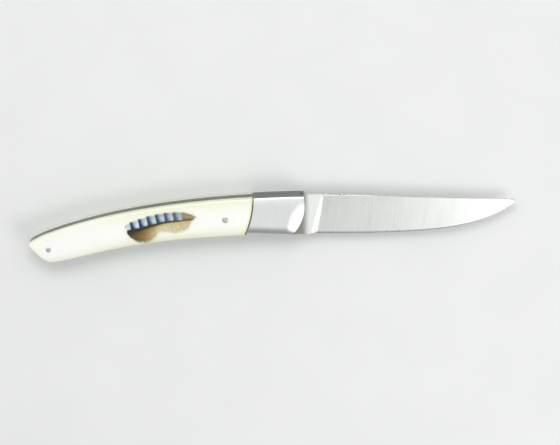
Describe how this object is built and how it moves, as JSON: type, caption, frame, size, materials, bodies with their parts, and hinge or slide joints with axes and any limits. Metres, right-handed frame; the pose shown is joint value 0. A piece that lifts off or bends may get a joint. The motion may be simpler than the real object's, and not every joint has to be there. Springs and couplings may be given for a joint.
{
  "type": "folding pocket knife",
  "caption": "Slim slip-joint folding pocket knife with a pointed blade, steel bolsters and curved white resin scales, one with a feather cast in it.",
  "frame": {"origin": "where the axis of the blade pivot meets the outer face of the right bolster, on which the open knife lies", "axes": "+X towards the tip of the open blade, +Y towards its spine and the back of the handle, +Z out of the left side of the handle, up as it lies"},
  "size_m": [0.2089, 0.0297, 0.012],
  "materials": {
    "blade_steel": "stainless blade steel, ground across the blade to a satin",
    "polished_steel": "turned and polished stainless steel",
    "spring_steel": "spring steel, drawn along its length with fine abrasive",
    "liner_steel": "stainless sheet, edges drawn along the handle",
    "bolster_steel": "solid stainless steel, fine satin",
    "cast_resin": "cast cream-white resin, polished",
    "pin_steel": "drawn steel pin, peened and dressed flush",
    "bronze": "phosphor bronze sheet washer",
    "barred_feather": "bird's feather vane, barred dark and pale blue",
    "downy_feather": "downy feather vane, brown to cream",
    "feather_quill": "dark horny feather shaft",
    "clear_resin": "clear cast resin, polished flush with the scale"
  },
  "bodies": {
    "handle": {"left_liner": "liner_steel", "right_liner": "liner_steel", "left_bolster": "bolster_steel", "right_bolster": "bolster_steel", "left_scale": "cast_resin", "right_scale": "cast_resin", "pivot_pin": "pin_steel", "fulcrum_pin": "pin_steel", "butt_pin": "pin_steel", "left_scale_pin": "pin_steel", "right_scale_pin": "pin_steel", "left_washer": "bronze", "right_washer": "bronze", "left_bolster_rivet_back": "pin_steel", "left_bolster_rivet_belly": "pin_steel", "right_bolster_rivet_back": "pin_steel", "right_bolster_rivet_belly": "pin_steel", "feather_barred_vane": "barred_feather", "feather_downy_vane": "downy_feather", "feather_shaft": "feather_quill", "resin_window": "clear_resin"},
    "blade": {"blade": "blade_steel", "opening_stud": "polished_steel"},
    "backspring": {"backspring": "spring_steel"}
  },
  "joints": [
    {"name": "blade_pivot", "type": "hinge", "parent": "handle", "child": "blade", "pos_m": [0, 0, 0.006], "axis": [0, 0, -1], "range_deg": [0, 175.5]},
    {"name": "backspring_flex", "type": "hinge", "parent": "handle", "child": "backspring", "pos_m": [-0.047, 0.00541, 0.006], "axis": [0, 0, 1], "range_deg": [0, 0.8], "stiffness_Nm_per_rad": 2, "deforming": ["backspring"]}
  ]
}
